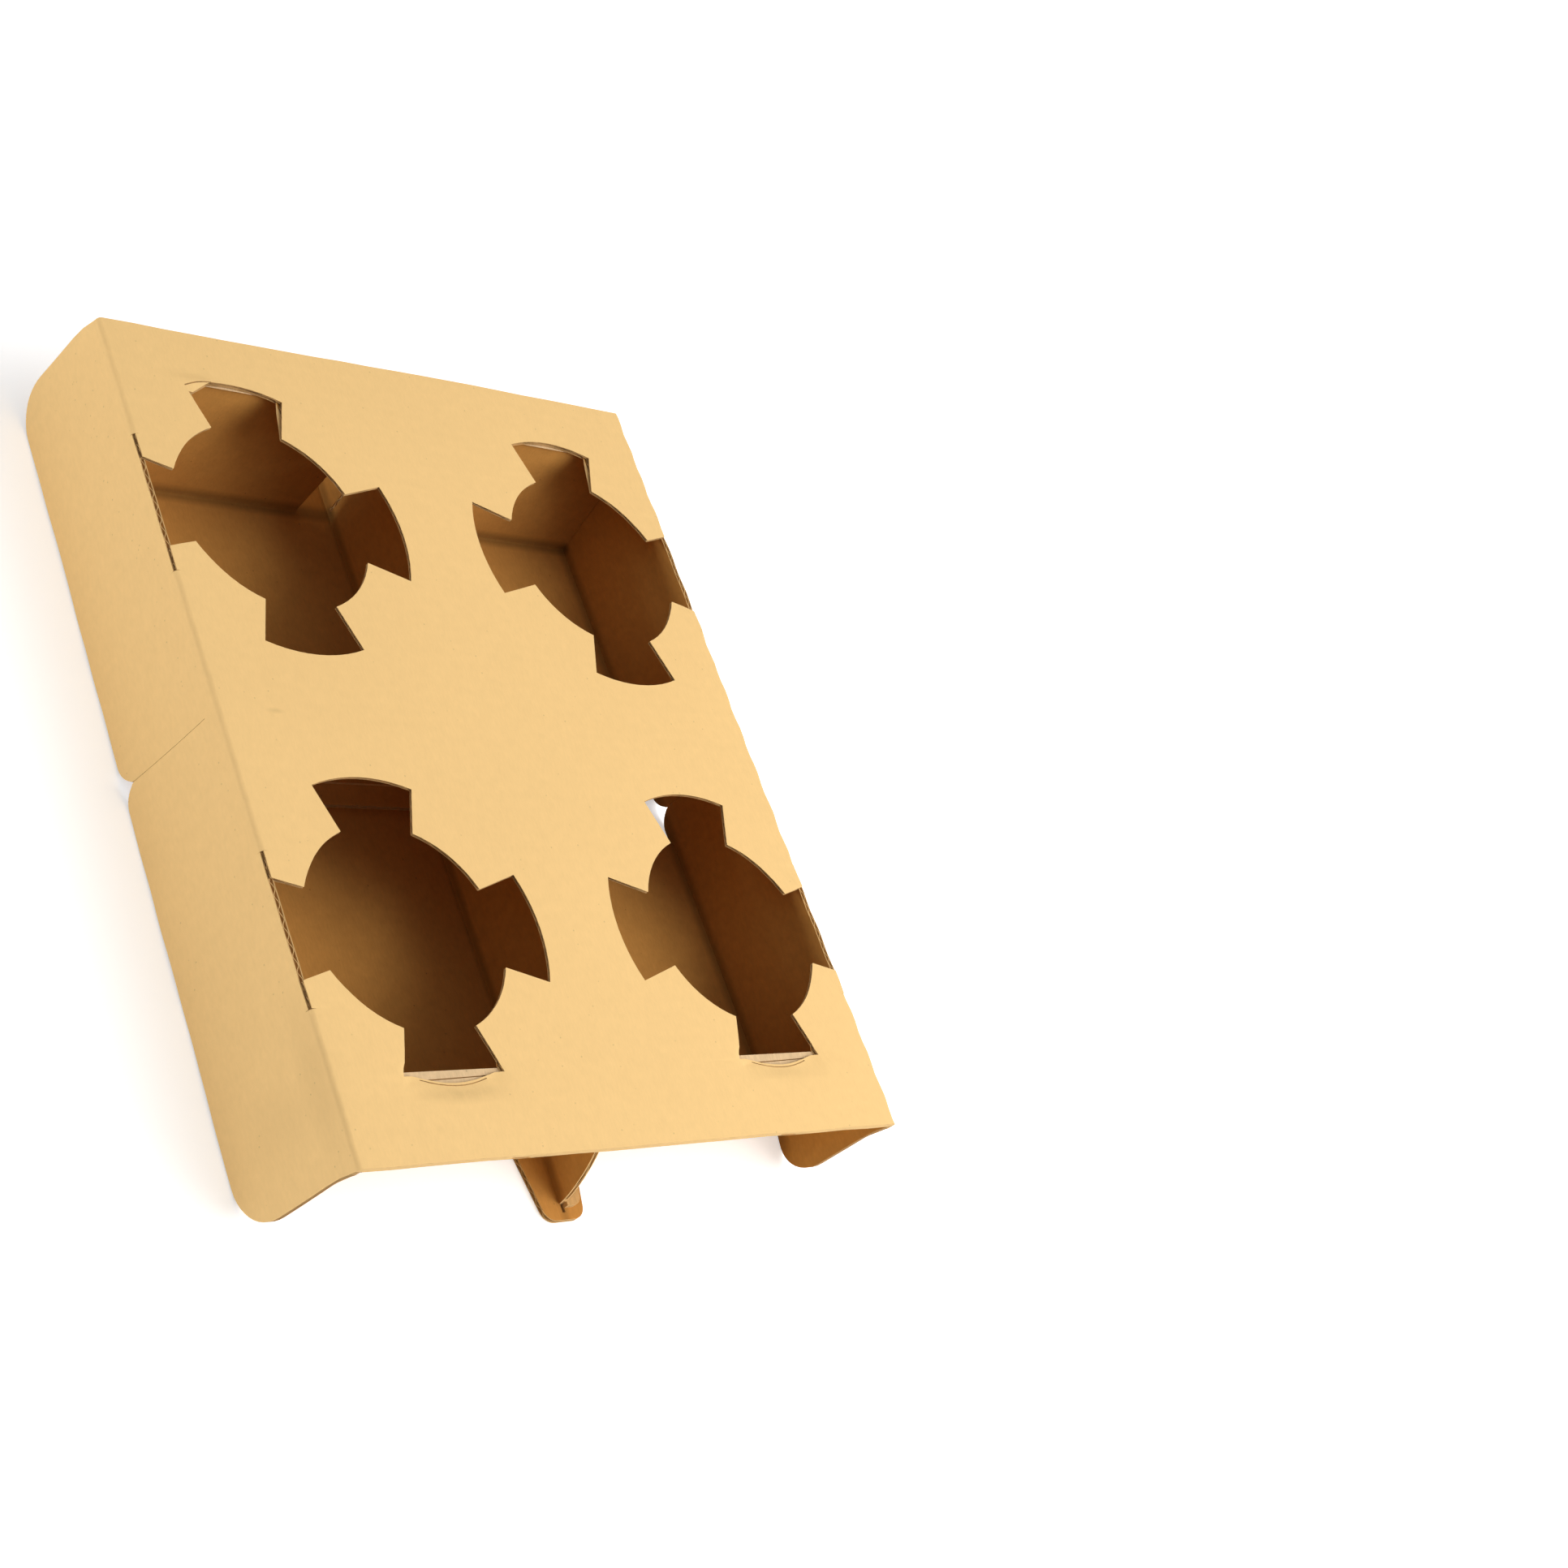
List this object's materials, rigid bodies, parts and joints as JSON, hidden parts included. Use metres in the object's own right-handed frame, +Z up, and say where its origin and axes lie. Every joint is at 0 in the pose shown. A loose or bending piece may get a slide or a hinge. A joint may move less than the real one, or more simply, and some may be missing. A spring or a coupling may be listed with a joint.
{
  "type": "cardboard cup carrier",
  "caption": "Low tray folded from kraft corrugated board: a top panel with round winged openings that grip cups, hanging side flaps, end walls, a floor and a centre divider.",
  "frame": {"origin": "centre of the bounding box at the floor's underside", "axes": "+X across the carrier, +Y along it, +Z up out of the cup openings"},
  "size_m": [0.23, 0.311, 0.051],
  "materials": {
    "kraft_board": null
  },
  "bodies": {
    "root": {"cup_carrier": "kraft_board"}
  },
  "joints": []
}
